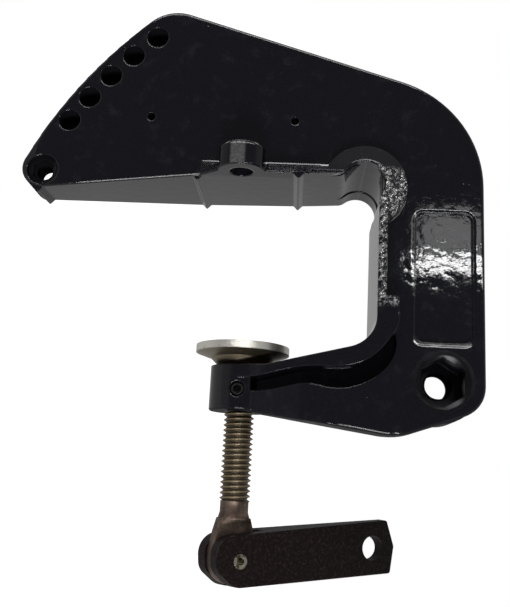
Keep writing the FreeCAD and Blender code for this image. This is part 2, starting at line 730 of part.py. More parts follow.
def set_screw():
    """A headless screw with a hexagon socket, its point just clear of the clamp screw."""
    outer = math.sqrt(BOSS_R ** 2 - (GRUB_D / 2) ** 2) - GRUB_SINK
    point = SCREW_R + GRUB_GAP
    body = Part.makeCylinder(GRUB_D / 2, outer - point, grub_place(point), grub_axis())
    rims = [edge for edge in body.Edges if len(edge.Vertexes) == 1]
    rims.sort(key=lambda edge: edge.BoundBox.Center.y)
    body = body.makeChamfer(GRUB_BEVEL, rims[:1])
    radius = GRUB_SOCKET_AF / math.sqrt(3)
    side = grub_axis().cross(V(1, 0, 0))
    start = grub_place(outer - GRUB_SOCKET_T)
    corners = []
    for i in range(6):
        angle = math.radians(60 * i)
        corners.append(start + V(1, 0, 0) * (radius * math.cos(angle)) + side * (radius * math.sin(angle)))
    return body.cut(prism(corners, grub_axis() * (GRUB_SOCKET_T + 1)))


# The handle's own directions: along the lever, across it, and through its thickness
YAW = math.radians(HANDLE_YAW_DEG)
TILT = math.radians(HANDLE_TILT_DEG)
EYE_SIDE = V(0, math.sin(YAW), math.cos(YAW))
FACE_OUT = V(0, -math.cos(YAW), math.sin(YAW))
LEVER = V(-math.sin(TILT), math.cos(TILT) * math.sin(YAW), math.cos(TILT) * math.cos(YAW))
ACROSS = FACE_OUT.cross(LEVER)
PIN_AT = V(PIN_X, SCREW_Y, SCREW_Z)


def laid(shape, along, across, out, at):
    """A shape modelled with X along, Z across and -Y out, laid in these directions."""
    shape.Placement = FreeCAD.Placement(FreeCAD.Matrix(
        along.x, -out.x, across.x, at.x,
        along.y, -out.y, across.y, at.y,
        along.z, -out.z, across.z, at.z,
        0, 0, 0, 1))
    return shape


def clamp_screw():
    """Nose, threaded shank, neck, and an eye flattened from the round."""
    socket_floor = PAD_HUB_X - SOCKET_T
    nose_end = PAD_FACE_X + RIVET_RECESS_T - NOSE_PLAY
    neck_end = THREAD_END_X + NECK_L
    flare_end = neck_end + FLARE_L
    shank = turned([
        (nose_end - RIVET_T, 0),
        (nose_end - RIVET_T, RIVET_R - 1),
        (nose_end - RIVET_T * 0.5, RIVET_R),
        (nose_end, RIVET_R),
        (nose_end, NOSE_R),
        (socket_floor + NOSE_PLAY, NOSE_R),
        (socket_floor + NOSE_PLAY, SCREW_R),
        (THREAD_END_X, SCREW_R),
        (THREAD_END_X + 0.5, NECK_R),
        (neck_end, NECK_R),
        (flare_end, EYE_R - EYE_SHOULDER),
        (flare_end, 0),
    ], SCREW_Y, SCREW_Z)
    half = EYE_T / 2
    for side in (-1, 1):
        ramp = [
            (neck_end, side * EYE_R * 2),
            (neck_end, side * NECK_R),
            (neck_end + EYE_RAMP_L, side * half),
            (FAR, side * half),
            (FAR, side * EYE_R * 2),
        ]
        cutter = prism_z(ramp, -FAR, FAR)
        cutter.rotate(V(0, 0, 0), V(1, 0, 0), -HANDLE_YAW_DEG)
        cutter.translate(V(0, SCREW_Y, SCREW_Z))
        shank = shank.cut(cutter)
    wire = loop([
        (neck_end, -NECK_R, 0),
        (flare_end, EYE_SHOULDER - EYE_R, 8.0),
        (PIN_X - EYE_R * 0.4, -EYE_R, 8.0),
        (PIN_X + EYE_R, -EYE_R, EYE_R * 0.999),
        (PIN_X + EYE_R, EYE_R, EYE_R * 0.999),
        (PIN_X - EYE_R * 0.4, EYE_R, 8.0),
        (flare_end, EYE_R - EYE_SHOULDER, 8.0),
        (neck_end, NECK_R, 0),
    ])
    eye = slab(wire, -half, half)
    eye = eye.common(block(neck_end + EYE_RAMP_L / 2, FAR, -half, half, -FAR, FAR))
    eye.rotate(V(0, 0, 0), V(1, 0, 0), -HANDLE_YAW_DEG)
    eye.translate(V(0, SCREW_Y, SCREW_Z))
    body = joined(shank, eye)
    hole = Part.makeCylinder(PIN_R + PIN_FIT, 2 * EYE_T, PIN_AT - FACE_OUT * EYE_T, FACE_OUT)
    return body.cut(hole)


PAD_HUB_X = ARM_TOP_X - PAD_GAP


def clamp_pad():
    """A turned pad: flat face, thin rim, and a hub that holds the screw's nose."""
    rim_low = PAD_FACE_X + PAD_RIM_T
    floor = PAD_HUB_X - SOCKET_T
    recess = PAD_FACE_X + RIVET_RECESS_T
    return turned([
        (PAD_FACE_X, RIVET_RECESS_R),
        (PAD_FACE_X, PAD_R),
        (rim_low, PAD_R),
        (rim_low + PAD_SHOULDER_T, PAD_SHOULDER_R),
        (PAD_HUB_X, PAD_HUB_R),
        (PAD_HUB_X, SCREW_R + SOCKET_GAP),
        (floor, SCREW_R + SOCKET_GAP),
        (floor, NOSE_R + NOSE_FIT),
        (recess, NOSE_R + NOSE_FIT),
        (recess, RIVET_RECESS_R),
    ], SCREW_Y, SCREW_Z)


def lever_loop(growth):
    """The lever's outline round the pin, widened by growth for the mould's draft."""
    heel = -HANDLE_HEEL_L - growth
    end = HANDLE_L + growth
    fork_half = HANDLE_FORK_W / 2 + growth
    end_half = HANDLE_END_W / 2 + growth
    return loop([
        (heel, -fork_half * 0.3, fork_half * 0.6),
        (-fork_half * 0.3, -fork_half, fork_half * 0.8),
        (end - HANDLE_POINT, -end_half, HANDLE_CORNER_R),
        (end, 0, 0.6),
        (end - HANDLE_POINT, end_half, HANDLE_CORNER_R),
        (heel, fork_half, fork_half * 0.8),
    ])


def clamp_handle():
    """A flat-faced lever, tapering in thickness behind, with a fork and an end hole."""
    half = HANDLE_FORK_T / 2
    front = lever_loop(0)
    front.translate(V(0, -half, 0))
    back = lever_loop(HANDLE_FORK_T * math.tan(math.radians(HANDLE_DRAFT_DEG)))
    back.translate(V(0, half, 0))
    lever = Part.makeLoft([front, back], True, True)
    end_y = HANDLE_END_T - half
    past = HANDLE_L + HANDLE_END_W
    past_y = half - (half - end_y) * (past - SLOT_L) / (HANDLE_L - SLOT_L)
    lever = lever.cut(prism_z([(SLOT_L, half), (past, past_y), (past, FAR), (SLOT_L, FAR)], -FAR, FAR))
    slot_half = EYE_T / 2 + SLOT_GAP
    slot = block(-HANDLE_END_W, SLOT_L, -slot_half, slot_half, -FAR, FAR)
    lever = lever.cut(slot)
    lever = lever.cut(rod_y(0, 0, PIN_R, -FAR, FAR))
    lever = lever.cut(rod_y(HANDLE_L - HANDLE_HOLE_INSET, 0, HANDLE_HOLE_D / 2, -FAR, FAR))
    return laid(lever, LEVER, ACROSS, FACE_OUT, PIN_AT)


def handle_pin():
    """A solid pin with a drilled hollow in each end, spread to hold in the fork."""
    length = HANDLE_FORK_T + 2 * PIN_PROUD
    start = PIN_AT - FACE_OUT * (length / 2)
    pin = Part.makeCylinder(PIN_R, length, start, FACE_OUT)
    for at, way in ((start, FACE_OUT), (start + FACE_OUT * length, FACE_OUT * -1)):
        pin = pin.cut(Part.makeCylinder(PIN_HOLE_R, PIN_HOLE_T, at, way))
    return pin


NODES = {
    "clamp_bracket": clamp_bracket,
    "set_screw": set_screw,
    "clamp_pad": clamp_pad,
    "clamp_screw": clamp_screw,
    "clamp_handle": clamp_handle,
    "handle_pin": handle_pin,
}

os.makedirs("parts", exist_ok=True)
for name, build in NODES.items():
    shape = build().Solids[0]
    shape.translate(V(0, -SCREW_Y, 0))
    shape.exportStep(f"parts/{name}.step")
    print(name, "valid", shape.isValid(), "volume", round(shape.Volume, 1))
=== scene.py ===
import bpy
import bmesh
import json
import math
from mathutils import Matrix, Vector


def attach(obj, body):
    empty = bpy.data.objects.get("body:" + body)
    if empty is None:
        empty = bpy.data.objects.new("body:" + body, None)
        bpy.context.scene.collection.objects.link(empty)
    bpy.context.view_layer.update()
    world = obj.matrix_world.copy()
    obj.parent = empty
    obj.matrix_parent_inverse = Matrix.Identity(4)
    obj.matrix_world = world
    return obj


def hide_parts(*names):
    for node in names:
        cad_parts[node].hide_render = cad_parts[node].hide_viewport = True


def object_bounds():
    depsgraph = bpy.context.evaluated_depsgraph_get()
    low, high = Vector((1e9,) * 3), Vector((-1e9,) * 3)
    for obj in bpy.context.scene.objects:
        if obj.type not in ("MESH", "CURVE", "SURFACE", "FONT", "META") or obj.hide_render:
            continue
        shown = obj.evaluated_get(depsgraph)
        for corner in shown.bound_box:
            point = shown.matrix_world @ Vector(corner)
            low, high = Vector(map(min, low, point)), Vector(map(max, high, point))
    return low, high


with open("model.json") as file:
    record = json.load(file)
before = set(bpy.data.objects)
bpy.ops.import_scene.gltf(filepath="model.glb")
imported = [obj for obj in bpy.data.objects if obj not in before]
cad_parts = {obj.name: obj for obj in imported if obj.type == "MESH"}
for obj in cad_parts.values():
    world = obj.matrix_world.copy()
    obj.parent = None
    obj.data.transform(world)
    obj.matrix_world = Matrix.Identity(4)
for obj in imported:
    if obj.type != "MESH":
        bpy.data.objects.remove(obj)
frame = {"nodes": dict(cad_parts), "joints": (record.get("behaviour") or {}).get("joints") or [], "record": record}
cad_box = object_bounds()


# Studio: the bracket is photographed from its outer face on a white sheet that runs back from it,
# in a tent that is bright behind it and dark round the camera. A narrow lamp and a faint panel
# show in the glossy paint, and two wide panels light its outboard and its inboard edges.
CAMERA_RIGHT = Vector((-0.0520, 0.0400, 0.9978))
CAMERA_DOWN = Vector((0.9761, 0.2129, 0.0424))
CAMERA_AHEAD = Vector((-0.2108, 0.9762, -0.0501))
CAMERA_PLACE = Vector((0.0422, -0.3395, -0.0553))
FOCAL_PIXELS = 855
PICTURE_PIXELS = 607
SENSOR_WIDTH = 36
WHITE = (1.0, 1.0, 1.0, 1)

scene = bpy.context.scene
scene.view_settings.view_transform = "Standard"


def placing(across, up, away, place):
    """The matrix that lays X, Y and Z along these directions and moves the origin to this place."""
    return Matrix.Translation(place) @ Matrix((across, up, away)).transposed().to_4x4()


camera = bpy.data.objects.new("camera", bpy.data.cameras.new("camera"))
scene.collection.objects.link(camera)
camera.matrix_world = placing(CAMERA_RIGHT, -CAMERA_DOWN, -CAMERA_AHEAD, CAMERA_PLACE)
camera.data.sensor_width = SENSOR_WIDTH
camera.data.lens = SENSOR_WIDTH * FOCAL_PIXELS / PICTURE_PIXELS
camera.data.clip_start = 0.01
camera.data.clip_end = 50
scene.camera = camera


class Wire:
    """A socket of a node tree. Sums on it add Math nodes, and add() makes any other node."""

    def __init__(self, tree, socket=None):
        self.tree = tree
        self.socket = socket

    def add(self, kind, settings, sockets, out=0):
        """A node of this kind: its settings, a ramp's stops too, and its sockets' values or links."""
        made = self.tree.nodes.new(kind)
        for name, value in settings.items():
            if name == "stops":
                while len(made.color_ramp.elements) < len(value):
                    made.color_ramp.elements.new(0.5)
                for element, (place, shade) in zip(made.color_ramp.elements, value):
                    element.position = place
                    element.color = (shade, shade, shade, 1)
            else:
                setattr(made, name, value)
        for name, value in sockets.items():
            if isinstance(value, Wire):
                self.tree.links.new(value.socket, made.inputs[name])
            else:
                made.inputs[name].default_value = value
        return Wire(self.tree, made.outputs[out]) if made.outputs else None

    def maths(self, operation, first, second=0.0):
        """A Math node on two values or links."""
        return self.add("ShaderNodeMath", {"operation": operation}, {0: first, 1: second})

    def __add__(self, other):
        return self.maths("ADD", self, other)

    def __radd__(self, other):
        return self.maths("ADD", other, self)

    def __sub__(self, other):
        return self.maths("SUBTRACT", self, other)

    def __rsub__(self, other):
        return self.maths("SUBTRACT", other, self)

    def __mul__(self, other):
        return self.maths("MULTIPLY", self, other)

    def __pow__(self, other):
        return self.maths("POWER", self, other)

    def larger(self, other):
        """The larger of the two."""
        return self.maths("MAXIMUM", self, other)

    def size(self):
        """This without its sign."""
        return self.maths("ABSOLUTE", self)

    def part(self, axis):
        """The X, Y or Z of this place or direction."""
        return self.add("ShaderNodeSeparateXYZ", {}, {0: self}, out=axis)

    def rising(self, low, high):
        """0 below low, 1 above high and a smooth step between."""
        return self.add("ShaderNodeMapRange", {"interpolation_type": "SMOOTHSTEP"}, {
            0: self, 1: low, 2: high})

    def falling(self, low, high):
        """1 below low, 0 above high and a smooth step between."""
        return 1.0 - self.rising(low, high)

    def within(self, low, high, fade):
        """1 from low to high, and a smooth step to 0 of width fade beyond each."""
        return self.rising(low - fade, low) * self.falling(high, high + fade)

    def noise(self, scale, detail=2.0, rough=0.5, twist=0.0):
        """Cloudy noise from 0 to 1 on this place, scale being its waves a metre."""
        return self.add("ShaderNodeTexNoise", {}, {
            "Vector": self, "Scale": scale, "Detail": detail, "Roughness": rough, "Distortion": twist})

    def cells(self, scale, out="Distance"):
        """Cells round scattered points: how far the nearest is, or its own random colour."""
        return self.add("ShaderNodeTexVoronoi", {}, {"Vector": self, "Scale": scale}, out=out)

    def soft_cells(self, scale, smoothness):
        """How far the nearest scattered point is, with rounded ridges between the cells."""
        return self.add("ShaderNodeTexVoronoi", {"feature": "SMOOTH_F1"}, {
            "Vector": self, "Scale": scale, "Smoothness": smoothness}, out="Distance")

    def blend(self, first, second):
        """The colour first where this is 0 and second where it is 1."""
        return self.add("ShaderNodeMix", {"data_type": "RGBA"}, {0: self, 6: first, 7: second}, out=2)


TENT_STOPS = [(0.0, 0.11), (0.08, 0.12), (0.15, 0.30), (0.5, 0.40), (0.65, 0.60), (1.0, 0.70)]
SHADED_Z = (-0.05, 0.06)
SHADED_AHEAD = (0.6, 0.8)
SHADED_SHARE = 0.38
studio = bpy.data.worlds.new("studio")
scene.world = studio
studio.use_nodes = True
studio.node_tree.nodes.clear()
sky = Wire(studio.node_tree)
direction = sky.add("ShaderNodeTexCoord", {}, {}, out="Generated")
ahead = direction.part("Y")
tent = ahead.add("ShaderNodeValToRGB", {"stops": TENT_STOPS}, {0: ahead * 0.5 + 0.5})
shaded_side = direction.part("Z").rising(*SHADED_Z) * ahead.rising(*SHADED_AHEAD)
tent = tent * (1.0 - shaded_side * SHADED_SHARE)
seen = sky.add("ShaderNodeLightPath", {}, {}, out="Is Camera Ray")
sky_shader = sky.add("ShaderNodeBackground", {}, {"Color": seen.blend(tent, WHITE), "Strength": 1.0})
sky.add("ShaderNodeOutputWorld", {}, {"Surface": sky_shader})


def lamp(name, place, target, width, height, brightness):
    """A flat lamp of this radiance that faces its target, its height towards up in use."""
    light = bpy.data.lights.new(name, "AREA")
    light.shape = "RECTANGLE"
    light.size = width
    light.size_y = height
    light.energy = brightness * math.pi * width * height
    made = bpy.data.objects.new(name, light)
    scene.collection.objects.link(made)
    away = (Vector(place) - Vector(target)).normalized()
    across = Vector((0, 0, 1)).cross(away).normalized()
    made.matrix_world = placing(across, away.cross(across), away, Vector(place))


FACE_MIDDLE = (-0.04, -0.02, 0.0)
EDGE_MIDDLE = (0.0, 0.0, -0.05)
lamp("narrow_lamp", (-0.320, -1.02, 0.318), FACE_MIDDLE, width=0.019, height=0.384, brightness=36.0)
lamp("faint_panel", (-0.374, -1.02, 0.204), FACE_MIDDLE, width=0.058, height=0.144, brightness=2.8)
lamp("upper_panel", (-0.80, -0.62, -0.08), EDGE_MIDDLE, width=0.20, height=0.64, brightness=13.0)
lamp("lower_panel", (0.72, -0.60, -0.05), EDGE_MIDDLE, width=0.30, height=0.44, brightness=16.0)

SHEET_HALF = 8.0
SHEET_FRONT_Y = -0.036
SHEET_BELOW = 0.0002
PAPER_GLOW = (0.30, 0.30, 0.30, 1)
floor_mesh = bmesh.new()
bmesh.ops.create_grid(floor_mesh, x_segments=1, y_segments=1, size=SHEET_HALF)
sheet_place = (0, SHEET_FRONT_Y + SHEET_HALF, cad_box[0][2] - SHEET_BELOW)
bmesh.ops.translate(floor_mesh, verts=floor_mesh.verts, vec=sheet_place)
floor = bpy.data.objects.new("floor", bpy.data.meshes.new("floor"))
floor_mesh.to_mesh(floor.data)
floor_mesh.free()
scene.collection.objects.link(floor)
paper = bpy.data.materials.new("white_paper")
paper.use_nodes = True
paper.node_tree.nodes.clear()
sheet = Wire(paper.node_tree)
seen = sheet.add("ShaderNodeLightPath", {}, {}, out="Is Camera Ray")
sheet_shader = sheet.add("ShaderNodeBsdfPrincipled", {}, {
    "Base Color": (0.3, 0.3, 0.3, 1),
    "Roughness": 0.9,
    "Specular IOR Level": 0.0,
    "Emission Color": seen.blend(PAPER_GLOW, WHITE),
    "Emission Strength": 1.0})
sheet.add("ShaderNodeOutputMaterial", {}, {"Surface": sheet_shader})
floor.data.materials.append(paper)


# Clamp bracket: one sand casting in aluminium, sprayed with thick gloss black enamel that lies in
# blisters and rounds the edges. The bead and the crescent keep the mould's wrinkled skin, its
# ridges painted pale and metallic as painted glints, and the bores and the inboard end are painted black as
# painted shade.
mounts = {mount["name"]: mount["pos_m"] for mount in frame["record"]["mounts"]}
FACE_Y = mounts["tapped_pair"][1]
BOLT_Z = mounts["transom_bolt_bore"][2]
TILT_R = math.hypot(mounts["tilt_hole_1"][0], mounts["tilt_hole_1"][2])
EDGE_R = 0.0009
# The black painted as shade in the bores and on the inboard faces
PAINTED_SHADE_BLACK = (0.008, 0.008, 0.010, 1)


def painted(node, material):
    """Puts one material on all of a CAD node."""
    mesh = frame["nodes"][node].data
    mesh.materials.clear()
    mesh.materials.append(material)


def new_finish(name):
    """An empty material, a wire to build its nodes with, and the place on the object."""
    material = bpy.data.materials.new(name)
    material.use_nodes = True
    material.node_tree.nodes.clear()
    wire = Wire(material.node_tree)
    return material, wire, wire.add("ShaderNodeTexCoord", {}, {}, out="Object")


def rounded_edges(wire, radius, samples=4):
    """The normal of a surface whose edges are rounded by this radius."""
    return wire.add("ShaderNodeBevel", {"samples": samples}, {"Radius": radius})


def relieved(wire, height, normal):
    """This normal, turned by a relief whose height is in metres."""
    return wire.add("ShaderNodeBump", {}, {
        "Height": height, "Distance": 1.0, "Strength": 1.0, "Normal": normal})


def surfaced(wire, sockets, shade_mask=None):
    """Ends a material with its surface shader, painted black as shade where its last argument is 1."""
    shader = wire.add("ShaderNodeBsdfPrincipled", {}, sockets)
    if shade_mask:
        black = wire.add("ShaderNodeBsdfDiffuse", {}, {"Color": PAINTED_SHADE_BLACK})
        shader = wire.add("ShaderNodeMixShader", {}, {0: shade_mask, 1: shader, 2: black})
    wire.add("ShaderNodeOutputMaterial", {}, {"Surface": shader})


enamel, wire, place = new_finish("gloss_enamel")
at_x = place.part("X")
at_y = place.part("Y")
at_z = place.part("Z")

# What stands before the face at the throat's end: the crescent, and the bead that runs on from it
RAISED_Y = (FACE_Y - 0.0032, FACE_Y - 0.0012)
SKIN_START_X = (-0.0835, -0.0785)
SKIN_END_X = (-0.030, -0.026)
SKIN_START_Z = (-0.034, -0.030)
BEAD_START_X = (-0.072, -0.062)
BEAD_SHARE = 0.22
WRINKLE_HEIGHT = 0.0014
RIDGES = (0.50, 0.60)
raised = at_y.falling(*RAISED_Y)
skin = raised * at_x.rising(*SKIN_START_X) * at_x.falling(*SKIN_END_X) * at_z.rising(*SKIN_START_Z)
streaked = wire.add("ShaderNodeCombineXYZ", {}, {0: at_x + at_z, 1: (at_z - at_x) * 0.65, 2: at_y})
wrinkle = streaked.noise(540.0, detail=3.0, rough=0.65, twist=0.9)
wrinkled = skin * (1.0 - at_x.rising(*BEAD_START_X) * (1.0 - BEAD_SHARE))
ridges = wrinkle.rising(*RIDGES) * skin

# The bead's round top, and the crescent's end, which falls away towards the tip
CROWN_Z = -0.0244
CROWN_START_X = (-0.066, -0.060)
CROWN_END_X = (-0.032, -0.030)
CROWN_CURVE = 130.0
TAIL_Z = -0.0330
TAIL_SLOPE = 0.12
TAIL_END_Z = (-0.060, -0.052)
SEAT_EDGE_X = (-0.0790, -0.0786)
from_crown = at_z - CROWN_Z
crown = from_crown * from_crown * -CROWN_CURVE * raised
crown = crown * at_x.rising(*CROWN_START_X) * at_x.falling(*CROWN_END_X)
tail = (TAIL_Z - at_z).larger(0.0) * -TAIL_SLOPE * raised
tail = tail * at_x.falling(*SEAT_EDGE_X) * at_z.rising(*TAIL_END_Z)

# The soft shoulder that the paint leaves round the label's recess
LABEL_LOW_X = -0.0656
LABEL_HIGH_X = -0.0143
LABEL_LOW_Z = -0.0110
LABEL_HIGH_Z = 0.0108
LABEL_R = 0.0032
SHOULDER = (0.0002, 0.0017)
SHOULDER_FALL = 0.00008
ON_FACE_Y = (FACE_Y + 0.0006, FACE_Y + 0.0010)


def beyond(along, low, high):
    """How far a coordinate is beyond the straight stretch between a recess's two corners."""
    return ((along - (low + high) / 2).size() - ((high - low) / 2 - LABEL_R)).larger(0.0)


beyond_x = beyond(at_x, LABEL_LOW_X, LABEL_HIGH_X)
beyond_z = beyond(at_z, LABEL_LOW_Z, LABEL_HIGH_Z)
outside = (beyond_x ** 2.0 + beyond_z ** 2.0) ** 0.5 - LABEL_R
shoulder = outside.falling(*SHOULDER) * -SHOULDER_FALL * at_y.falling(*ON_FACE_Y)

# The half-round boss of the transom bolt, flatter than round, with a pale painted highlight on its crest, and the
# lip
BOLT_BOSS_TOP_X = (-0.0925, -0.0915)
BOLT_BOSS_FOOT_X = (-0.0786, -0.0782)
BOLT_BOSS_SIDE = (0.0080, 0.0092)
BOLT_BOSS_FLATTER = 40.0
CREST_SHEEN_Z = BOLT_Z - 0.0012
CREST_SHEEN_SIDE = (0.0022, 0.0034)
LIP_Y = (FACE_Y - 0.0003, FACE_Y - 0.0001)
LIP_SIDE = (0.0095, 0.0105)
LIP_END_Z = (-0.052, -0.048)
LIP_SHARE = 0.5
beside_bolt = (at_z - BOLT_Z).size()
bolt_boss = at_x.rising(*BOLT_BOSS_TOP_X) * at_x.falling(*BOLT_BOSS_FOOT_X)
bolt_boss = bolt_boss * beside_bolt.falling(*BOLT_BOSS_SIDE) * raised
flatter = beside_bolt * beside_bolt * bolt_boss * BOLT_BOSS_FLATTER
# A pale grey patch painted along the boss's crest: a painted highlight.
crest_sheen = bolt_boss * (at_z - CREST_SHEEN_Z).size().falling(*CREST_SHEEN_SIDE)
lip = at_y.falling(*LIP_Y) * at_x.falling(*SEAT_EDGE_X) * beside_bolt.rising(*LIP_SIDE)
sparkling = lip * at_z.falling(*LIP_END_Z)

# Painted shade where little light comes in: the arm's valley, which falls away with the arm, and the
# pivot's pocket get dark metal; the bores and the faces inboard of the pivot that look inboard are painted black
ARM_FALL_Z = -0.0440
ARM_FALL_SLOPE = 0.335
VALLEY_DEPTH = (0.0025, 0.0035)
VALLEY_FADE = 0.0010
VALLEY_START_X = (-0.022, -0.018)
VALLEY_END_Z = (-0.0175, -0.0165)
TILT_BAND_HALF = 0.0046
TILT_BAND_FADE = 0.0004
TILT_START_Y = (FACE_Y + 0.0002, FACE_Y + 0.0008)
TILT_END_Y = (-0.0030, -0.0020)
PIVOT_BORE_R = (0.0056, 0.0060)
PIVOT_POCKET_R = (0.0116, 0.0122)
LOOKING_INBOARD = (0.5, 0.8)
INBOARD_X = (0.004, 0.006)
INBOARD_SHARE = 0.85
depth = at_y - FACE_Y - (ARM_FALL_Z - at_z).larger(0.0) * ARM_FALL_SLOPE
valley = depth.within(*VALLEY_DEPTH, VALLEY_FADE)
valley = valley * at_x.rising(*VALLEY_START_X) * at_z.falling(*VALLEY_END_Z)
from_pivot = (at_x ** 2.0 + at_z ** 2.0) ** 0.5
tilt_row = from_pivot.within(TILT_R - TILT_BAND_HALF, TILT_R + TILT_BAND_HALF, TILT_BAND_FADE)
tilt_bores = tilt_row * at_y.rising(*TILT_START_Y) * at_y.falling(*TILT_END_Y)
bores = tilt_bores + from_pivot.falling(*PIVOT_BORE_R)
pivot_pocket = from_pivot.falling(*PIVOT_POCKET_R)
facing = wire.add("ShaderNodeNewGeometry", {}, {}, out="True Normal")
inboard_end = facing.part("X").rising(*LOOKING_INBOARD) * at_x.rising(*INBOARD_X)

# The paint's own relief and dust
PEEL_HEIGHT = 0.000010
SWELL_HEIGHT = 0.000014
BLISTER_HEIGHT = 0.000028
PIMPLE_HEIGHT = 0.00004
PIMPLES = 260.0
PIMPLE_SIZE = (0.0, 0.12)
PIMPLE_PICK = (0.72, 0.76)
peel = place.noise(1000.0, detail=2.0, rough=0.6)
swell = place.noise(260.0, detail=1.0, rough=0.5)
blister = place.soft_cells(270.0, 0.35)
pimple = place.cells(PIMPLES).falling(*PIMPLE_SIZE) * place.cells(PIMPLES, "Color").rising(*PIMPLE_PICK)
dust = place.noise(160.0, detail=4.0, rough=0.65).rising(0.52, 0.75)
dust = dust + place.noise(1400.0, detail=2.0, rough=0.6).rising(0.50, 0.85)
height = peel * PEEL_HEIGHT + swell * SWELL_HEIGHT - blister * blister * BLISTER_HEIGHT
height = height + wrinkle * (wrinkled + sparkling * LIP_SHARE) * WRINKLE_HEIGHT + pimple * PIMPLE_HEIGHT
height = height + flatter + shoulder + crown + tail
paint_colour = dust.blend((0.0040, 0.0040, 0.0066, 1), (0.0098, 0.0098, 0.0130, 1))
# The ridges of the wrinkled skin are painted pale and metallic: painted glints.
ridge_glint_colour = ridges.blend(paint_colour, (0.46, 0.46, 0.45, 1))
# Painted shade: dark metal in the valley and the pivot's pocket, plain black in the bores and on the inboard
# faces.
surfaced(wire, {
    "Base Color": (crest_sheen * peel).blend(ridge_glint_colour, (0.13, 0.13, 0.13, 1)),
    "Metallic": ridges * 0.8 + sparkling * 0.5 + valley * 0.8 + pivot_pocket * 0.6,
    "Roughness": 0.035 + dust * 0.04 + skin * 0.10 + pivot_pocket * 0.25,
    "Normal": relieved(wire, height, rounded_edges(wire, EDGE_R, samples=6)),
    "Specular IOR Level": 0.45}, bores + inboard_end * INBOARD_SHARE)
painted("clamp_bracket", enamel)


# Set screw: a headless steel screw with a hexagon socket, oxidised black. It is threaded into the
# side of the screw boss, its point just clear of the clamp screw.
OXIDE_GRAIN = 0.00002
OXIDE_EDGE_R = 0.00025
oxide, wire, place = new_finish("black_oxide")
grain = place.noise(2500.0, detail=3.0, rough=0.6)
surfaced(wire, {
    "Base Color": grain.blend((0.012, 0.012, 0.014, 1), (0.03, 0.03, 0.032, 1)),
    "Metallic": 0.6,
    "Roughness": 0.32 + grain * 0.15,
    "Normal": relieved(wire, grain * OXIDE_GRAIN, rounded_edges(wire, OXIDE_EDGE_R))})
painted("set_screw", oxide)


# Clamp screw: oiled, browned steel, its 12 mm thread of 2 mm pitch cut up to a short neck, and
# its outer end forged out into a flat eye. The nose is riveted in the pad.
AXIS_Z = next(joint["pos_m"][2] for joint in frame["joints"] if joint["name"] == "screw_turn")
CREST_R = 0.00598
ROOT_R = 0.00487
PITCH = 0.002
THREAD_LOW = -0.0060
THREAD_HIGH = 0.0476
NOSE_OVERLAP = 0.0001
EYE_OVERLAP = 0.0002
FLANK_START = 0.12
FLANK = 0.35
CREST_FLAT = 0.09
STEPS = 56
SMOOTH_DEGREES = 28
ON_PLANE = 1e-8
CUT_MERGE = 1e-7
CAD_MERGE = 1e-6
THREAD_MERGE = 2e-6


def cut_at(mesh, x, keep_high):
    """Cuts a mesh by a plane square to X, drops one side and closes the cut."""
    geometry = mesh.verts[:] + mesh.edges[:] + mesh.faces[:]
    cut = bmesh.ops.bisect_plane(
        mesh, geom=geometry, dist=ON_PLANE, plane_co=(x, 0, 0), plane_no=(1, 0, 0),
        clear_inner=keep_high, clear_outer=not keep_high)
    rim = [item for item in cut["geom_cut"] if isinstance(item, bmesh.types.BMEdge)]
    bmesh.ops.edgenet_fill(mesh, edges=rim)
    bmesh.ops.remove_doubles(mesh, verts=mesh.verts, dist=CUT_MERGE)


def screw_end(x, keep_high):
    """The CAD screw beyond (or before) this place along X, as a closed mesh."""
    end = bmesh.new()
    end.from_mesh(frame["nodes"]["clamp_screw"].data)
    bmesh.ops.remove_doubles(end, verts=end.verts, dist=CAD_MERGE)
    cut_at(end, x, keep_high)
    return end


def cut_thread():
    """The threaded length as a closed mesh: one turn's profile, wound round the axis."""
    thread = bmesh.new()
    crest_start = FLANK_START + FLANK
    crest_end = crest_start + CREST_FLAT
    root_start = crest_end + FLANK
    shares = [0, FLANK_START, crest_start, crest_end, root_start, 1]
    radii = [ROOT_R, ROOT_R, CREST_R, CREST_R, ROOT_R, ROOT_R]
    start = THREAD_LOW - PITCH
    corners = [
        thread.verts.new((start + share * PITCH, radius, AXIS_Z))
        for share, radius in zip(shares, radii)]
    for first, second in zip(corners, corners[1:]):
        thread.edges.new((first, second))
    turns = math.ceil((THREAD_HIGH - THREAD_LOW) / PITCH) + 2
    bmesh.ops.spin(
        thread, geom=thread.verts[:] + thread.edges[:], cent=(0, 0, AXIS_Z), axis=(1, 0, 0),
        dvec=(PITCH / STEPS, 0, 0), angle=2 * math.pi * turns, steps=STEPS * turns,
        use_duplicate=False)
    bmesh.ops.remove_doubles(thread, verts=thread.verts, dist=THREAD_MERGE)
    cut_at(thread, THREAD_LOW, True)
    cut_at(thread, THREAD_HIGH, False)
    bmesh.ops.recalc_face_normals(thread, faces=thread.faces)
    return thread


def joined(name, meshes, smooth_degrees):
    """One object from several meshes, at the origin, smooth but for edges sharper than this."""
    whole = bmesh.new()
    for mesh in meshes:
        loose = bpy.data.meshes.new("part")
        mesh.to_mesh(loose)
        mesh.free()
        whole.from_mesh(loose)
        bpy.data.meshes.remove(loose)
    made = bpy.data.objects.new(name, bpy.data.meshes.new(name))
    whole.to_mesh(made.data)
    whole.free()
    scene.collection.objects.link(made)
    made.data.set_sharp_from_angle(angle=math.radians(smooth_degrees))
    made.data.polygons.foreach_set("use_smooth", [True] * len(made.data.polygons))
    return made


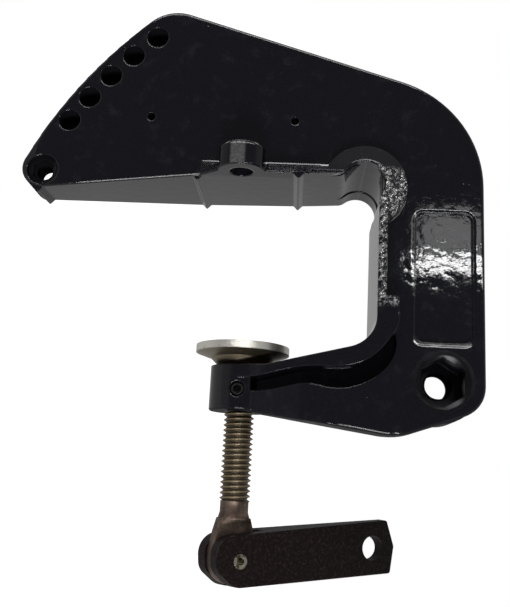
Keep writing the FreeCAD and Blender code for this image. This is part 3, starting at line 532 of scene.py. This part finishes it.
def distance_from_axis(place):
    """How far a place is from the clamp screw's axis."""
    centred = place.add("ShaderNodeVectorMath", {"operation": "MULTIPLY_ADD"}, {
        0: place, 1: (0.0, 1.0, 1.0), 2: (0.0, 0.0, -AXIS_Z)})
    return place.add("ShaderNodeVectorMath", {"operation": "LENGTH"}, {0: centred}, out="Value")


nose = screw_end(THREAD_LOW + NOSE_OVERLAP, False)
eye = screw_end(THREAD_HIGH - EYE_OVERLAP, True)
screw = joined("threaded_screw", [cut_thread(), nose, eye], SMOOTH_DEGREES)

CREST_START_R = ROOT_R + 0.0001
ROOT_END = (ROOT_R + 0.00002, ROOT_R + 0.00022)
FORGED_X = (THREAD_HIGH - 0.0006, THREAD_HIGH)
SCALE_HEIGHT = 0.00003
STAIN_HEIGHT = 0.00008
SCREW_EDGE_R = 0.0006
browned, wire, place = new_finish("browned_steel")
from_axis = distance_from_axis(place)
crest = from_axis.rising(CREST_START_R, CREST_R)
root_highlight = from_axis.falling(*ROOT_END)
forged = place.part("X").rising(*FORGED_X)
stain = place.noise(260.0, detail=4.0, rough=0.6)
scale_skin = place.noise(1800.0, detail=3.0, rough=0.6)
# The crests and the roots are painted lighter than the flanks: painted highlights, two to a turn.
crest_highlight_colour = crest.blend((0.016, 0.012, 0.008, 1), (0.29, 0.235, 0.155, 1))
thread_highlight_colour = root_highlight.blend(crest_highlight_colour, (0.13, 0.10, 0.065, 1))
forged_colour = stain.rising(0.35, 0.7).blend((0.075, 0.052, 0.040, 1), (0.17, 0.125, 0.10, 1))
height = scale_skin * SCALE_HEIGHT + stain * STAIN_HEIGHT
surfaced(wire, {
    "Base Color": forged.blend(thread_highlight_colour, forged_colour),
    "Metallic": 0.85,
    "Roughness": 0.34 + stain * 0.16 + forged * 0.08,
    "Normal": relieved(wire, height, rounded_edges(wire, SCREW_EDGE_R))})
screw.data.materials.append(browned)
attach(screw, "screw")
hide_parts("clamp_screw")


# Clamp pad: turned from stainless bar, so its faces carry fine rings from the tool, with a few
# rust freckles on the rim, and a dark brown painted shade in the hollow under it.
UNDER_PAD_SHADE_X = (-0.0102, -0.0096)
RINGS_ACROSS = 14000.0
RINGS_ALONG = 30000.0
RING_HEIGHT = 0.000012
PIT_DEPTH = 0.00004
PAD_EDGE_R = 0.0003
stainless, wire, place = new_finish("turned_stainless")
at_x = place.part("X")
rings = wire.maths("SINE", distance_from_axis(place) * RINGS_ACROSS + at_x * RINGS_ALONG)
freckle = place.noise(700.0, detail=4.0, rough=0.7).rising(0.60, 0.72)
cloud = place.noise(150.0)
# The underside, in the hollow under the pad, is painted dark brown: painted shade.
steel_and_under_shade = at_x.rising(*UNDER_PAD_SHADE_X).blend((0.78, 0.76, 0.69, 1), (0.20, 0.17, 0.12, 1))
height = rings * RING_HEIGHT - freckle * PIT_DEPTH
surfaced(wire, {
    "Base Color": freckle.blend(steel_and_under_shade, (0.16, 0.12, 0.08, 1)),
    "Metallic": 0.95,
    "Roughness": 0.26 + cloud * 0.14 + freckle * 0.3,
    "Normal": relieved(wire, height, rounded_edges(wire, PAD_EDGE_R))})
painted("clamp_pad", stainless)


# Handle: a cast lever under matt black paint, so thin that the brown metal shows at the edges of
# the fork. The face keeps the fine grain of the mould.
LEVER_EDGE_R = 0.0008
LEVER_GRAIN = 0.00007
LEVER_SCUFF = 0.00002
EDGE_TURN = (0.01, 0.16)
matt, wire, place = new_finish("matt_lever_paint")
grain = place.noise(1400.0, detail=4.0, rough=0.65)
patch = place.noise(220.0, detail=3.0, rough=0.55)
scuff = place.noise(3200.0, detail=2.0, rough=0.7)
speckled = place.noise(900.0, detail=3.0, rough=0.7).rising(0.45, 0.70)
rounded = rounded_edges(wire, LEVER_EDGE_R, samples=8)
flat = wire.add("ShaderNodeNewGeometry", {}, {}, out="Normal")
alike = wire.add("ShaderNodeVectorMath", {"operation": "DOT_PRODUCT"}, {0: rounded, 1: flat}, out="Value")
wear = (1.0 - alike).rising(*EDGE_TURN) * patch.rising(0.35, 0.65)
body_colour = speckled.blend((0.0042, 0.0022, 0.0021, 1), (0.0165, 0.0105, 0.0098, 1))
surfaced(wire, {
    "Base Color": wear.blend(body_colour, (0.045, 0.032, 0.028, 1)),
    "Roughness": 0.46 + patch * 0.16,
    "Specular IOR Level": 0.12,
    "Normal": relieved(wire, grain * LEVER_GRAIN + scuff * LEVER_SCUFF, rounded)})
painted("clamp_handle", matt)


# Handle pin: plain steel with drilled ends that are spread in the fork, worn bright on the ring
# and oily inside.
PIN_GRAIN = 0.00003
PIN_EDGE_R = 0.0003
plain, wire, place = new_finish("plain_steel")
grain = place.noise(2200.0, detail=3.0, rough=0.6)
dirt = place.noise(500.0, detail=3.0, rough=0.6).rising(0.45, 0.65)
surfaced(wire, {
    "Base Color": dirt.blend((0.34, 0.32, 0.25, 1), (0.07, 0.06, 0.035, 1)),
    "Metallic": 0.9,
    "Roughness": 0.30 + grain * 0.15,
    "Normal": relieved(wire, grain * PIN_GRAIN, rounded_edges(wire, PIN_EDGE_R))})
painted("handle_pin", plain)
